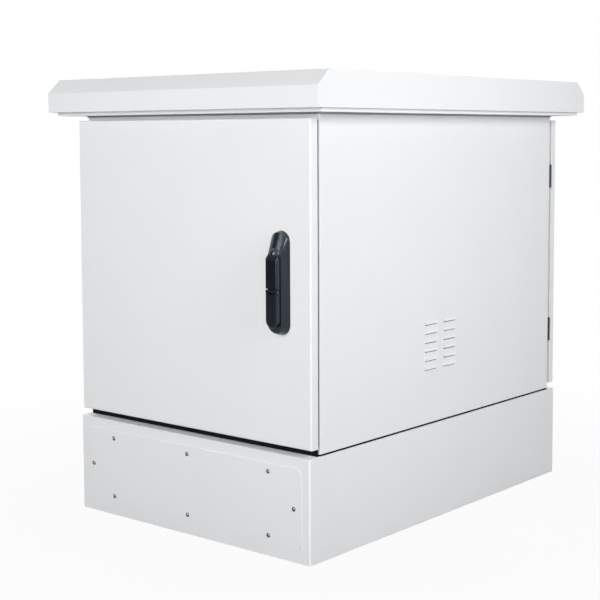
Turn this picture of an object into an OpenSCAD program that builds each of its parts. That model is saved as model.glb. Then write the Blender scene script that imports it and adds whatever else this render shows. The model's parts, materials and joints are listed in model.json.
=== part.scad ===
// Roadside utility cabinet: a folded-sheet body on a plinth under a weather canopy, with a door at
// the front and one at the rear. Each door has a swing handle that drives a rod lock. Millimetres.
// The origin is the middle of the footprint on the ground, +X points right facing the front door,
// +Y to the back, +Z up. The rear door and its lock are the front ones turned half a turn about Z.

/* [Body] */
// Outside width of the body
body_w = 600; // [520:10:800]
// Outside depth of the body between its two frame faces
body_d = 800; // [700:10:1000]
// Outside height of the body
body_h = 600; // [500:10:900]
// Sheet thickness of body, canopy and tray
sheet = 1.5; // [1.2:0.1:2]
// Outside bend radius of the upright body edges
bend_r = 4; // [3.5:0.5:6]
// Width of the flanges beside a door opening
side_flange = 23; // [22:1:28]
// Height of the flanges above and below a door opening
end_flange = 30; // [28:1:40]
// Height of the rim that the door gasket closes on
rim_h = 12; // [9:1:13]

/* [Plinth] */
// Height of the plinth
plinth_h = 190; // [170:5:260]
// How far the plinth stands out in front of the body and behind it
plinth_out = 28; // [25:1:40]
// Sheet thickness of the plinth
plinth_sheet = 2; // [1.5:0.5:3]
// Width of the flanges turned in at the top and foot of the plinth
plinth_flange = 50; // [46:1:60]
// Diameter of the ground anchor holes
anchor_d = 14; // [10:1:18]
// Distance of the anchor holes from the outside of the plinth
anchor_in = 27; // [25:1:32]
// Thickness of the foam seal between plinth and body
seal_t = 4; // [3:0.5:6]
// Width of the foam seal
seal_w = 44; // [42:1:48]

/* [Plinth covers] */
// Distance of a plinth cover from the sides of the plinth
cover_side = 21; // [20:1:40]
// Distance of a plinth cover from the foot of the plinth
cover_foot = 23; // [15:1:30]
// Distance of a plinth cover from the top of the plinth
cover_head = 20; // [15:1:30]
// Corner radius of a plinth cover
cover_r = 12; // [8:1:20]
// Distance of the screws from the edge of the cover
screw_in = 15; // [12:1:18]
// Share of the half width at which the outer screws of the long rows sit
screw_share = 0.73; // [0.6:0.01:0.8]
// Diameter of a cover screw head
screw_head_d = 9; // [8:0.5:10]

/* [Roof] */
// How far the canopy stands out over the sides of the body
canopy_side = 48; // [40:1:90]
// How far the canopy stands out in front of the body and behind it
canopy_end = 61; // [56:1:110]
// Height of the upright skirt of the canopy
skirt_h = 37.5; // [30:0.5:50]
// Rise of the sloped front and rear faces
slope_h = 27.5; // [20:0.5:40]
// How far the sloped faces run in
slope_in = 29; // [20:1:40]
// Width of the hem folded in at the foot of the skirt
hem_w = 26; // [24:1:34]
// How far the tray under the canopy stays back from the skirt at the sides
tray_in_x = 8; // [5:1:12]
// How far the tray stays back from the skirt at front and rear
tray_in_y = 17; // [12:1:20]
// Height of the tray
tray_h = 7; // [6:0.5:12]
// Thickness of the foam cord in the corner under the tray
cord_t = 3; // [2:0.5:5]
// Diameter of the posts between tray and canopy
post_d = 24; // [18:1:30]

/* [Doors] */
// Height of the body frame left clear above the door
door_top_gap = 10; // [8:1:14]
// Height of the body frame left clear below the door
door_foot_gap = 10; // [10:1:16]
// Gap between the body frame and the rear edge of the door
door_gap = 4.5; // [4.5:0.1:6]
// Depth of the door pan
door_depth = 19.5; // [18:0.5:22]
// Sheet thickness of the door
door_sheet = 1.5; // [1.2:0.1:2]
// Outside bend radius of the door edges
door_r = 3; // [2.5:0.5:4]
// Width of the lip turned in at the rear edge of the door
door_lip = 10; // [8:1:11]
// Width of the gasket ring
gasket_w = 15; // [12:1:16]

/* [Hinges] */
// Distance of a hinge axis from the side plane
hinge_in = 3.4; // [3.3:0.1:4]
// Diameter of the hinge knuckles
knuckle_d = 6.4; // [6:0.1:6.6]
// Diameter of the hinge pins
pin_d = 3.6; // [3:0.1:4]
// Height of a hinge
hinge_h = 48; // [40:1:60]
// Distance of each hinge from mid door
hinge_z = 169; // [140:1:190]

/* [Louvres] */
// Columns of louvres on a side
louvre_cols = 2; // [1:1:2]
// Rows of louvres on a side
louvre_rows = 6; // [4:1:6]
// Width of a louvre on the wall
louvre_w = 42; // [36:1:44]
// How far a louvre stands out
louvre_out = 3.5; // [3:0.25:5]
// Height of the pressed form
louvre_h = 10; // [8:0.5:12]
// Height of the slit below the lip of a louvre
louvre_slit = 2.5; // [1.5:0.5:4]
// Distance between columns
louvre_dx = 64; // [60:1:70]
// Distance between rows
louvre_dz = 17.6; // [16:0.2:19]
// Height of the lowest slit above the foot of the body
louvre_foot = 106; // [106:1:130]
// Offset of the louvre field towards the front
louvre_fore = 25; // [0:1:60]

/* [Mounting rails] */
// Distance of the hole columns of the rails from the sides of the body
rail_side = 67.45; // [60.95:0.5:80.95]
// Sheet thickness of rails and depth rails
rail_sheet = 2; // [1.5:0.5:2.5]
// Distance of the rails from the frame faces
rail_in = 70; // [60:5:120]
// Side of a square cage-nut hole
cage_hole = 9.5; // [9:0.1:9.6]
// Height of a depth rail
depth_rail_h = 40; // [34:1:44]

/* [Handle] */
// Distance of the handle axis from the edge of the door
handle_side = 66.5; // [64:0.5:80]
// Height of the spindle axis above the middle of the door
handle_up = 53; // [30:0.5:70]
// Width of the handle base on the door
base_w = 40; // [38:1:42]
// Width of the handle base at its top
base_top_w = 30; // [29:0.5:32]
// Height of the handle base
base_h = 19.7; // [19:0.1:20.5]
// Distance of the upper end centre of the base above the spindle
base_up = 21; // [18:1:24]
// Distance of the lower end centre of the base below the spindle
base_down = 124; // [116:1:140]
// Radius of the ball at the head of the lever
ball_r = 13; // [12.5:0.1:13.2]
// Height of the lift axis above the door
lift_h = 14; // [13.7:0.1:14.3]
// Width of the lever
lever_w = 27; // [26:0.5:28]
// Thickness of the lever
lever_t = 9; // [8.5:0.5:10]
// Distance of the lower end centre of the lever below the spindle
lever_down = 115.5; // [110:0.5:118]
// Distance of the cover hinge below the spindle
flip_down = 64.5; // [63:0.5:70]
// Largest lift angle of the lever
lever_lift = 35; // [20:5:35]

/* [Lock] */
// Gear module of pinion and racks
gear_m = 1.5; // [1.3:0.1:1.6]
// Teeth of the pinion
gear_teeth = 16; // [14:2:18]
// Pressure angle of the teeth
gear_angle = 25; // [22:1:28]
// Play between the teeth on the pitch line
gear_play = 0.3; // [0.2:0.05:0.4]
// Width of a lock rod
rod_w = 12; // [10:1:14]
// Thickness of a lock rod
rod_t = 6; // [5:0.5:7]

/* [Hidden] */
$fn = 48;
fit = 0.05;
clear = 0.3;

half_w = body_w / 2;
half_d = body_d / 2;
wall_x = half_w - sheet;
body_z0 = plinth_h + seal_t;
body_z1 = body_z0 + body_h;
open_x = half_w - side_flange;
open_z0 = body_z0 + end_flange;
open_z1 = body_z1 - end_flange;

// Hexagon bolts that join plinth, body and canopy
bolt_r = 4;
bolt_hole_r = bolt_r + 0.5;
bolt_across = 13;
bolt_head = 5.3;
nut_h = 6.5;
washer_r = 9;
washer_t = 1.6;

plinth_y = half_d + plinth_out;
anchor_x = half_w - anchor_in;
anchor_y = plinth_y - anchor_in;
plinth_bolt_x = half_w - 27;
plinth_bolt_y = half_d - 12;
plinth_bolt_tail = 11;
seal_in = 2;
seal_lip = 3;
seal_gap = 2;

cover_w = body_w - 2 * cover_side;
cover_h = plinth_h - cover_foot - cover_head;
cover_z = cover_foot + cover_h / 2;
cover_t = 1.5;
hatch_less_w = 70;
hatch_less_h = 50;
hatch_w = cover_w - hatch_less_w;
hatch_h = cover_h - hatch_less_h;
screw_r = 2.5;
screw_tail = 8;
screw_head_h = screw_head_d * 0.3;
screw_socket = 3;
screw_row_z = cover_h / 2 - screw_in;
screw_end_x = cover_w / 2 - screw_in;
screw_long_x = cover_w / 2 * screw_share;
cover_screws = concat(
    [for (x = [-screw_long_x, 0, screw_long_x]) for (z = [-screw_row_z, screw_row_z]) [x, z]],
    [for (x = [-screw_end_x, screw_end_x]) [x, 0]]);

canopy_x = half_w + canopy_side;
canopy_y = half_d + canopy_end;
tray_x = canopy_x - tray_in_x;
tray_y = canopy_y - tray_in_y;
canopy_z0 = body_z1 + tray_h;
canopy_z1 = canopy_z0 + skirt_h;
canopy_z2 = canopy_z1 + slope_h;
slope_turn = atan(slope_in / slope_h);
post_in = 90;
post_x = half_w - post_in;
post_y = half_d - post_in;
post_bolt_l = 22;
vent_count = 9;
vent_w = 6;
vent_l = 90;
vent_dx = 16;
vent_y = 150;

door_z0 = body_z0 + door_foot_gap;
door_z1 = body_z1 - door_top_gap;
door_h = door_z1 - door_z0;
door_mid = (door_z0 + door_z1) / 2;
door_back = half_d + door_gap;
door_face = door_back + door_depth;
door_inner = door_face - door_sheet;

hinge_x = half_w - hinge_in;
hinge_levels = [door_mid - hinge_z, door_mid + hinge_z];
hinge_gap = 1;
notch_y = knuckle_d / 2 + hinge_gap;
leaf_t = 1.6;
leaf_in = 2;
pin_head = 2;
pin_short = 3;

louvre_z = body_z0 + louvre_foot;
louvre_top = louvre_z + (louvre_rows - 1) * louvre_dz + louvre_h;
filter_over = 10;
filter_w = (louvre_cols - 1) * louvre_dx + louvre_w + 2 * filter_over;
filter_h = louvre_top - louvre_z + 2 * filter_over;
filter_z = (louvre_top + louvre_z) / 2;
filter_t = 10;
filter_edge = 8;
filter_grid = 2;
filter_bars = 3;

rack_span = body_w - 2 * rail_side;
rail_lip = 18;
rail_tab = 10;
rail_x1 = rack_span / 2 + rail_lip;
rail_x0 = rack_span / 2 - rail_tab;
rail_y = half_d - rail_in;
rail_deep = 30;
rail_ends = 4;
unit_h = 44.45;
unit_holes = [6.35, 22.225, 38.1];
units = floor((open_z1 - open_z0 - rail_ends) / unit_h);
rail_h = units * unit_h;
rail_foot = 3.3;
rail_z0 = open_z0 + rail_foot;
rail_levels = [for (u = [0:units - 1]) for (h = unit_holes) rail_z0 + u * unit_h + h];
rail_bolt_r = 3;
rail_bolt_in = 18;
rail_bolt_head_r = 5.2;
rail_bolt_head = 3.2;
rail_bolt_tail = 4;
rail_nut = 5;
rail_nut_across = 10;
depth_in = 8;
depth_gap = 6;
depth_y = rail_y - depth_in;
depth_levels = [rail_z0 + depth_gap, rail_z0 + rail_h - depth_rail_h - depth_gap];

handle_x = half_w - handle_side;
handle_z = door_mid + handle_up;
base_r = base_w / 2;
base_top_r = base_top_w / 2;
base_floor = 1.5;
hood_h = base_h + 4.7;
hood_rake = 20;
hood_r = 24;
ear_down = 2.6;
ear_up = 6;
ear_x = ball_r - 0.3;
nose_r = 24;
seat_r = ball_r + 0.4;
shaft_r = 5;
square_w = 8;
pivot_r = 3;
pivot_l = 4;
tongue_t = 6;
slot_play = 0.2;
slot_r = shaft_r / cos(lever_lift) + clear;
lift_pin_r = 2;
lift_pin_in = 1.6;
ball_flat = 6;
lever_r = lever_w / 2;
lever_z0 = base_h + clear;
lever_z1 = lever_z0 + lever_t;
lever_top = 10;
lever_round = 3;
lever_slope = 24;
tray_top = lever_z0 + 2;
flip_r = 2.9;
flip_h = tray_top + clear + flip_r;
flip_pin_r = 1.5;
flip_pin_in = 0.2;
flip_back = 4.8;
lug_w = 10;
flap_wall = 1.8;
barrel_r = 8.5;
barrel_h = 5;
barrel_wall = 2;
barrel_down = 97;
key_w = 2.4;
key_l = 9;

pitch_r = gear_m * gear_teeth / 2;
tip_r = pitch_r + gear_m;
dedendum = 1.2 * gear_m;
root_r = pitch_r - dedendum;
involute_r = pitch_r * cos(gear_angle);
pitch = PI * gear_m;
tooth = pitch / 2 - gear_play;
rack_first = -3;
rack_last = 6;
rod_tail = -14;
lock_d = door_depth + door_gap + sheet + 2.5;
rod_x0 = pitch_r + dedendum;
rod_x1 = rod_x0 + rod_w;
rod_short = 2;
rod_up = open_z1 - rod_short - handle_z;
rod_down = handle_z - open_z0 - rod_short;
case_x = rod_x1 + 3.5;
case_h = 84;
case_d = lock_d + rod_t + 2;
case_foot = 4;
guide_in = 40;
guide_up = rod_up - guide_in;
guide_down = rod_down - guide_in;
guide_h = 16;
guide_wall = 3.5;

gland_w = 340;
gland_d = 240;
gland_edge = 20;
gland_r = 8;
gland_t = 2;
grommet_r = 18;
grommet_wall = 3;
grommet_bead = 1;
grommet_dx = 72;
grommet_dy = 90;

powder = [0.92, 0.93, 0.93];
black = [0.09, 0.09, 0.1];
zinc = [0.72, 0.73, 0.74];
steel = [0.62, 0.63, 0.65];
rubber = [0.14, 0.14, 0.14];
foam = [0.35, 0.36, 0.37];
brass = [0.78, 0.64, 0.33];

// Flat shapes that several sheets share.

module round_rect(w, h, r) {
    square([w - 2 * r, h], center = true);
    square([w, h - 2 * r], center = true);
    for (x = [-1, 1], y = [-1, 1]) translate([x * (w / 2 - r), y * (h / 2 - r)]) circle(r);
}

module frame_2d(w, h, r, t) {
    difference() {
        round_rect(w, h, r);
        round_rect(w - 2 * t, h - 2 * t, max(r - t, 0.5));
    }
}

// Rectangle from x0 to x1 and -y to y, rounded at its x1 end.
module ended_rect(x0, x1, y, r) {
    translate([x0, -y]) square([x1 - r - x0, 2 * y]);
    translate([x1 - r, r - y]) square([r, 2 * (y - r)]);
    for (s = [-1, 1]) translate([x1 - r, s * (y - r)]) circle(r);
}

module hexagon(across) {
    r = across / sqrt(3);
    polygon([for (a = [0:60:300]) [r * cos(a), r * sin(a)]]);
}

// Puts a piece drawn in X and Z with +Z outward on the front plane y.
module on_front(y) {
    translate([0, -y, 0]) rotate([90, 0, 0]) children();
}

module turned() {
    rotate([0, 0, 180]) children();
}

module four(x, y) {
    for (sx = [-1, 1], sy = [-1, 1]) translate([sx * x, sy * y, 0]) children();
}

module both_sides() {
    children();
    mirror([1, 0, 0]) children();
}

// Hexagon bolt with a washer on z = 0, its head above and a shank of length l below.
module hex_bolt(l) {
    cylinder(r = washer_r, h = washer_t);
    translate([0, 0, washer_t]) linear_extrude(bolt_head) hexagon(bolt_across);
    translate([0, 0, -l]) cylinder(r = bolt_r, h = l + washer_t);
}

// Washer and nut below z = 0.
module hex_nut() {
    translate([0, 0, -washer_t]) cylinder(r = washer_r, h = washer_t);
    translate([0, 0, -washer_t - nut_h]) linear_extrude(nut_h) hexagon(bolt_across);
}

// Plinth.

// Foot frame with the anchor holes and head frame with the holes of the body bolts.
module plinth_flanges() {
    color(powder) for (z = [0, plinth_h - plinth_sheet]) translate([0, 0, z]) difference() {
        linear_extrude(plinth_sheet) difference() {
            round_rect(body_w, 2 * plinth_y, bend_r);
            square([body_w - 2 * plinth_flange, 2 * (plinth_y - plinth_flange)], center = true);
        }
        if (z == 0) four(anchor_x, anchor_y) translate([0, 0, -1])
            cylinder(d = anchor_d, h = plinth_sheet + 2);
        else four(plinth_bolt_x, plinth_bolt_y) translate([0, 0, -1])
            cylinder(r = bolt_hole_r, h = plinth_sheet + 2);
    }
}

module plinth_wall() {
    translate([0, 0, plinth_sheet]) linear_extrude(plinth_h - 2 * plinth_sheet)
        frame_2d(body_w, 2 * plinth_y, bend_r, plinth_sheet);
}

// Space between the bends of the two side sheets.
module between_bends() {
    cube([body_w - 2 * bend_r, 3 * plinth_y, 3 * plinth_h], center = true);
}

module plinth_sides() {
    color(powder) difference() {
        plinth_wall();
        between_bends();
    }
}

module plinth_ends() {
    color(powder) difference() {
        intersection() {
            plinth_wall();
            between_bends();
        }
        translate([0, 0, cover_z]) rotate([90, 0, 0])
            linear_extrude(3 * plinth_y, center = true) round_rect(hatch_w, hatch_h, cover_r);
        for (s = cover_screws) translate([s[0], 0, cover_z + s[1]]) rotate([90, 0, 0])
            cylinder(r = screw_r + fit, h = 3 * plinth_y, center = true);
    }
}

// Flat ring under the body, turned up in front of its foot below each door.
module plinth_seal() {
    strip = body_w - 2 * bend_r;
    color(rubber) translate([0, 0, plinth_h]) difference() {
        union() {
            linear_extrude(seal_t) frame_2d(body_w - 2 * seal_in, body_d - 2 * seal_in, bend_r, seal_w);
            for (turn = [0, 180]) rotate([0, 0, turn]) translate([-strip / 2, -half_d - seal_lip, 0]) {
                cube([strip, seal_lip, door_z0 - seal_gap - plinth_h]);
                cube([strip, seal_lip + 2 * seal_in, seal_t]);
            }
        }
        four(plinth_bolt_x, plinth_bolt_y) translate([0, 0, -1])
            cylinder(r = bolt_hole_r, h = seal_t + 2);
    }
}

module plinth_front_cover() {
    color(powder) on_front(plinth_y) translate([0, cover_z, 0]) difference() {
        linear_extrude(cover_t) round_rect(cover_w, cover_h, cover_r);
        for (s = cover_screws) translate([s[0], s[1], -1])
            cylinder(r = screw_r + fit, h = cover_t + 2);
    }
}

module plinth_rear_cover() {
    turned() plinth_front_cover();
}

// Button-head screw, its shank along -Z below the seat at z = 0.
module button_screw() {
    shank = cover_t + plinth_sheet + screw_tail;
    dome_r = (pow(screw_head_d / 2, 2) + pow(screw_head_h, 2)) / (2 * screw_head_h);
    difference() {
        union() {
            intersection() {
                translate([0, 0, screw_head_h - dome_r]) sphere(dome_r);
                cylinder(r = screw_head_d, h = screw_head_h + 1);
            }
            translate([0, 0, -shank]) cylinder(r = screw_r, h = shank + screw_head_h / 4);
        }
        translate([0, 0, screw_head_h / 3]) linear_extrude(screw_head_h) hexagon(screw_socket);
    }
}

module plinth_cover_screws() {
    color(steel) for (turn = [0, 180]) rotate([0, 0, turn])
        for (s = cover_screws) on_front(plinth_y + cover_t) translate([s[0], cover_z + s[1], 0])
            button_screw();
}

module plinth_bolts() {
    grip = plinth_sheet + seal_t + sheet;
    color(zinc) four(plinth_bolt_x, plinth_bolt_y) translate([0, 0, body_z0 + sheet]) {
        hex_bolt(grip + plinth_bolt_tail);
        translate([0, 0, -grip]) hex_nut();
    }
}

// Body.

module side_plan() {
    difference() {
        ended_rect(open_x, half_w, half_d, bend_r);
        ended_rect(open_x - 1, wall_x, half_d - sheet, bend_r - sheet);
    }
}

module louvre_places() {
    for (c = [0:louvre_cols - 1], k = [0:louvre_rows - 1])
        translate([0, (c - (louvre_cols - 1) / 2) * louvre_dx - louvre_fore, louvre_z + k * louvre_dz])
            children();
}

// The pressed wedge above the slit, a distance t inside its outer skin.
module louvre_form(t) {
    translate([0, louvre_w / 2 - t, 0]) rotate([90, 0, 0]) linear_extrude(louvre_w - 2 * t)
        polygon([[wall_x - t, 0], [half_w + louvre_out - t, 0], [half_w - t, louvre_h],
            [wall_x - t, louvre_h]]);
}

module right_side_panel() {
    color(powder) difference() {
        union() {
            translate([0, 0, body_z0 + sheet]) linear_extrude(body_h - 2 * sheet) side_plan();
            for (y = [-half_d - rim_h, half_d]) translate([open_x, y, open_z0])
                cube([sheet, rim_h, open_z1 - open_z0]);
            louvre_places() louvre_form(0);
        }
        louvre_places() {
            louvre_form(sheet);
            translate([wall_x - 1, sheet - louvre_w / 2, -louvre_slit])
                cube([sheet + 1.5, louvre_w - 2 * sheet, louvre_slit + 0.5]);
        }
    }
}

module left_side_panel() {
    mirror([1, 0, 0]) right_side_panel();
}

// Flange and rim of a floor or ceiling at both openings, from height z0 to z1, rim at z.
module end_frame(z0, z1, z) {
    for (s = [-1, 1]) {
        translate([-open_x, s > 0 ? half_d - sheet : -half_d, z0]) cube([2 * open_x, sheet, z1 - z0]);
        translate([-open_x - sheet, s > 0 ? half_d : -half_d - rim_h, z])
            cube([2 * (open_x + sheet), rim_h, sheet]);
    }
}

module vent_slots() {
    for (k = [0:vent_count - 1], s = [-1, 1])
        translate([(k - (vent_count - 1) / 2) * vent_dx, s * vent_y])
            round_rect(vent_w, vent_l, vent_w / 2 - 0.1);
}

module ceiling_panel() {
    color(powder) {
        difference() {
            translate([0, 0, body_z1 - sheet]) linear_extrude(sheet) difference() {
                round_rect(body_w, body_d, bend_r);
                vent_slots();
            }
            four(post_x, post_y) translate([0, 0, body_z1 - 2 * sheet])
                cylinder(r = bolt_hole_r, h = 3 * sheet);
        }
        end_frame(open_z1, body_z1 - sheet, open_z1);
    }
}

module floor_panel() {
    color(powder) {
        difference() {
            translate([0, 0, body_z0]) linear_extrude(sheet) difference() {
                round_rect(body_w, body_d, bend_r);
                round_rect(gland_w - 2 * gland_edge, gland_d - 2 * gland_edge, gland_r);
            }
            four(plinth_bolt_x, plinth_bolt_y) translate([0, 0, body_z0 - 1])
                cylinder(r = bolt_hole_r, h = sheet + 2);
        }
        end_frame(body_z0 + sheet, open_z0, open_z0 - sheet);
    }
}

module grommet_places() {
    for (x = [-1.5:1.5], y = [-0.5, 0.5]) translate([x * grommet_dx, y * grommet_dy, 0]) children();
}

module gland_plate() {
    color(zinc) translate([0, 0, body_z0 + sheet]) difference() {
        linear_extrude(gland_t) round_rect(gland_w, gland_d, gland_r);
        grommet_places() translate([0, 0, -1]) cylinder(r = grommet_r, h = gland_t + 2);
    }
}

module cable_grommets() {
    color(rubber) translate([0, 0, body_z0 + sheet]) grommet_places() rotate_extrude() difference() {
        union() {
            translate([0, -grommet_bead]) square([grommet_r, gland_t + 2 * grommet_bead]);
            translate([0, gland_t]) square([grommet_r + grommet_wall, 2 * grommet_bead]);
            translate([0, -grommet_bead]) square([grommet_r + grommet_wall / 2, grommet_bead]);
        }
        translate([0, -2 * grommet_bead])
            square([grommet_r - grommet_wall, gland_t + 3 * grommet_bead]);
    }
}

// Roof.

module tray_floor_2d() {
    square([2 * (tray_x - sheet), 2 * (tray_y - sheet)], center = true);
}

module roof_tray() {
    color(powder) difference() {
        translate([0, 0, body_z1]) linear_extrude(sheet) difference() {
            tray_floor_2d();
            vent_slots();
        }
        four(post_x, post_y) translate([0, 0, body_z1 - 1]) cylinder(r = bolt_hole_r, h = sheet + 2);
    }
}

// Edge welded round the floor of the tray.
module tray_rim() {
    color(powder) translate([0, 0, body_z1]) linear_extrude(tray_h) difference() {
        square([2 * tray_x, 2 * tray_y], center = true);
        tray_floor_2d();
    }
}

// Foam cord round the body, pressed into the corner under the tray.
module roof_seal() {
    out = 2 * (cord_t + fit);
    color(rubber) translate([0, 0, body_z1 - cord_t]) linear_extrude(cord_t)
        frame_2d(body_w + out, body_d + out, bend_r + out / 2, cord_t);
}

// Outline of the canopy seen from the side, a sheet distance t inside the outer one.
module canopy_outline(t) {
    z1 = canopy_z1 - t * tan(slope_turn / 2);
    y2 = canopy_y - slope_in - t * tan((90 - slope_turn) / 2);
    polygon([[-canopy_y + t, canopy_z0 - (t > 0 ? 1 : 0)], [canopy_y - t, canopy_z0 - (t > 0 ? 1 : 0)],
        [canopy_y - t, z1], [y2, canopy_z2 - t], [-y2, canopy_z2 - t], [-canopy_y + t, z1]]);
}

module canopy_prism(t) {
    rotate([90, 0, 90]) linear_extrude(2 * (canopy_x - t), center = true) canopy_outline(t);
}

module roof_canopy() {
    color(powder) union() {
        difference() {
            canopy_prism(0);
            canopy_prism(sheet);
        }
        translate([0, 0, canopy_z0]) linear_extrude(sheet) difference() {
            square([2 * canopy_x - sheet, 2 * canopy_y - sheet], center = true);
            square([2 * (canopy_x - hem_w), 2 * (canopy_y - hem_w)], center = true);
        }
        four(post_x, post_y) difference() {
            translate([0, 0, body_z1 + sheet]) cylinder(d = post_d, h = canopy_z2 - body_z1 - 1.5 * sheet);
            translate([0, 0, body_z1]) cylinder(r = bolt_r + fit, h = post_bolt_l + 2);
        }
    }
}

module canopy_bolts() {
    color(zinc) four(post_x, post_y) translate([0, 0, body_z1 - sheet]) mirror([0, 0, 1])
        hex_bolt(post_bolt_l);
}

// Filters behind the louvres.

module filter_box(x0, x1, grow) {
    translate([x0, -louvre_fore - filter_w / 2 - grow, filter_z - filter_h / 2 - grow])
        cube([x1 - x0, filter_w + 2 * grow, filter_h + 2 * grow]);
}

module filter_mats() {
    color(foam) both_sides() filter_box(wall_x - filter_t, wall_x, 0);
}

module filter_frames() {
    color(black) both_sides() {
        difference() {
            filter_box(wall_x - filter_t - filter_grid, wall_x, filter_edge);
            filter_box(wall_x - filter_t, wall_x + 1, 0);
            filter_box(wall_x - filter_t - 2 * filter_grid, wall_x, -filter_edge);
        }
        for (k = [1:filter_bars])
            translate([wall_x - filter_t - filter_grid, -louvre_fore - filter_w / 2 + filter_edge - 1,
                filter_z + filter_h * (k / (filter_bars + 1) - 0.5) - filter_grid])
                cube([filter_grid, filter_w - 2 * filter_edge + 2, 2 * filter_grid]);
    }
}

// Mounting rails.

module rail_bolt_places() {
    for (z = depth_levels) for (k = [0, 1])
        translate([rail_x1 - rail_sheet, rail_bolt_in - rail_y, z + depth_rail_h * (0.25 + 0.5 * k)])
            rotate([0, 90, 0]) children();
}

module front_right_rail() {
    color(zinc) difference() {
        union() {
            translate([rail_x1 - rail_sheet, -rail_y, rail_z0]) cube([rail_sheet, rail_deep, rail_h]);
            translate([rail_x0, -rail_y, rail_z0]) cube([rail_x1 - rail_x0, rail_sheet, rail_h]);
        }
        for (z = rail_levels)
            translate([(rack_span - cage_hole) / 2, -rail_y - 1, z - cage_hole / 2])
                cube([cage_hole, rail_sheet + 2, cage_hole]);
        rail_bolt_places() translate([0, 0, -1]) cylinder(r = rail_bolt_r, h = rail_sheet + 2);
    }
}

module front_left_rail() {
    mirror([1, 0, 0]) front_right_rail();
}

module rear_right_rail() {
    mirror([0, 1, 0]) front_right_rail();
}

module rear_left_rail() {
    turned() front_right_rail();
}

module right_depth_rails() {
    color(zinc) difference() {
        for (z = depth_levels) translate([rail_x1, 0, z]) rotate([90, 0, 0])
            linear_extrude(2 * depth_y, center = true) difference() {
                square([wall_x - rail_x1, depth_rail_h]);
                translate([rail_sheet, rail_sheet]) square([wall_x, depth_rail_h - 2 * rail_sheet]);
            }
        for (m = [0, 1]) mirror([0, m, 0]) rail_bolt_places() translate([0, 0, rail_sheet - 1])
            cylinder(r = rail_bolt_r, h = rail_sheet + 2);
    }
}

module left_depth_rails() {
    mirror([1, 0, 0]) right_depth_rails();
}

module rail_bolts() {
    color(steel) both_sides() for (m = [0, 1]) mirror([0, m, 0]) rail_bolt_places() {
        translate([0, 0, -rail_bolt_head]) cylinder(r = rail_bolt_head_r, h = rail_bolt_head);
        translate([0, 0, -1])
            cylinder(r = rail_bolt_r, h = 1 + 2 * rail_sheet + rail_nut + rail_bolt_tail);
        translate([0, 0, 2 * rail_sheet]) linear_extrude(rail_nut) hexagon(rail_nut_across);
    }
}

// Hinges of the front door, axis upright at the left edge.

module hinge_places() {
    for (z = hinge_levels) translate([-hinge_x, -door_back, z]) children();
}

// Lower half, welded to the body frame.
module frame_leaf() {
    translate([0, 0, -hinge_h / 2]) difference() {
        linear_extrude(hinge_h / 2 - clear / 2) union() {
            circle(d = knuckle_d);
            translate([0, door_gap - leaf_t])
                square([side_flange - hinge_in - sheet - hinge_gap, leaf_t]);
            square([knuckle_d / 2, door_gap]);
        }
        translate([0, 0, -1]) cylinder(d = pin_d, h = hinge_h);
    }
}

module hinge_frame_leaves() {
    color(black) for (turn = [0, 180]) rotate([0, 0, turn]) hinge_places() frame_leaf();
}

module hinge_pins() {
    color(steel) for (turn = [0, 180]) rotate([0, 0, turn]) hinge_places() {
        translate([0, 0, -hinge_h / 2]) cylinder(d = pin_d, h = hinge_h - pin_short);
        translate([0, 0, -hinge_h / 2 - pin_head]) cylinder(d = knuckle_d, h = pin_head);
    }
}

// Upper half, welded to the return of the door.
module door_leaf() {
    back = hinge_in - door_sheet;
    difference() {
        union() {
            translate([0, 0, clear / 2]) linear_extrude(hinge_h / 2 - clear / 2) union() {
                circle(d = knuckle_d);
                translate([-back, -notch_y - hinge_gap]) square([leaf_t, notch_y + hinge_gap]);
            }
            translate([-back, -door_depth + door_sheet + leaf_in, -hinge_h / 2])
                cube([leaf_t, door_depth - door_sheet - leaf_in - notch_y, hinge_h]);
        }
        cylinder(d = pin_d + 2 * fit, h = hinge_h / 2 - pin_short + hinge_gap);
    }
}

module front_door_leaves() {
    color(black) hinge_places() door_leaf();
}

module rear_door_leaves() {
    turned() front_door_leaves();
}

// Doors.

// Door volume pulled in by t, from the front to depth back.
module door_block(t, r, back) {
    intersection() {
        translate([0, 0, door_z0 + t]) linear_extrude(door_h - 2 * t)
            rotate([0, 0, -90]) ended_rect(back, door_face - t, half_w - t, r);
        translate([0, 0, door_mid]) rotate([0, -90, 0]) rotate([0, 0, -90])
            linear_extrude(2 * half_w, center = true)
                ended_rect(back, door_face - t, door_h / 2 - t, r);
    }
}

module front_door_panel() {
    color(powder) difference() {
        door_block(0, door_r, door_back);
        door_block(door_sheet, door_r - door_sheet, door_back + door_sheet);
        translate([-half_w + door_lip, -door_face + 2 * door_sheet, door_z0 + door_lip])
            cube([body_w - 2 * door_lip, door_depth, door_h - 2 * door_lip]);
        for (z = hinge_levels)
            translate([-half_w - 1, -door_back - notch_y, z - hinge_h / 2 - pin_head - hinge_gap])
                cube([door_lip + 2, notch_y + 1, hinge_h + pin_head + 2 * hinge_gap]);
        at_handle() translate([0, 0, -door_sheet - 1]) cylinder(r = shaft_r + 1, h = door_sheet + 2);
    }
}

module rear_door_panel() {
    turned() front_door_panel();
}

module front_door_gasket() {
    mid_x = open_x + sheet / 2;
    mid_z = (open_z1 - open_z0 + sheet) / 2;
    color(rubber) on_front(half_d + rim_h + clear) translate([0, (open_z0 + open_z1) / 2, 0])
        linear_extrude(door_inner - half_d - rim_h - clear)
            frame_2d(2 * mid_x + gasket_w, 2 * mid_z + gasket_w, gasket_w, gasket_w);
}

module rear_door_gasket() {
    turned() front_door_gasket();
}

// Swing handle, drawn with X to the right, Y up and Z outward from the door face, spindle at 0, 0.

module at_handle() {
    translate([handle_x, -door_face, handle_z]) rotate([90, 0, 0]) children();
}

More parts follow.
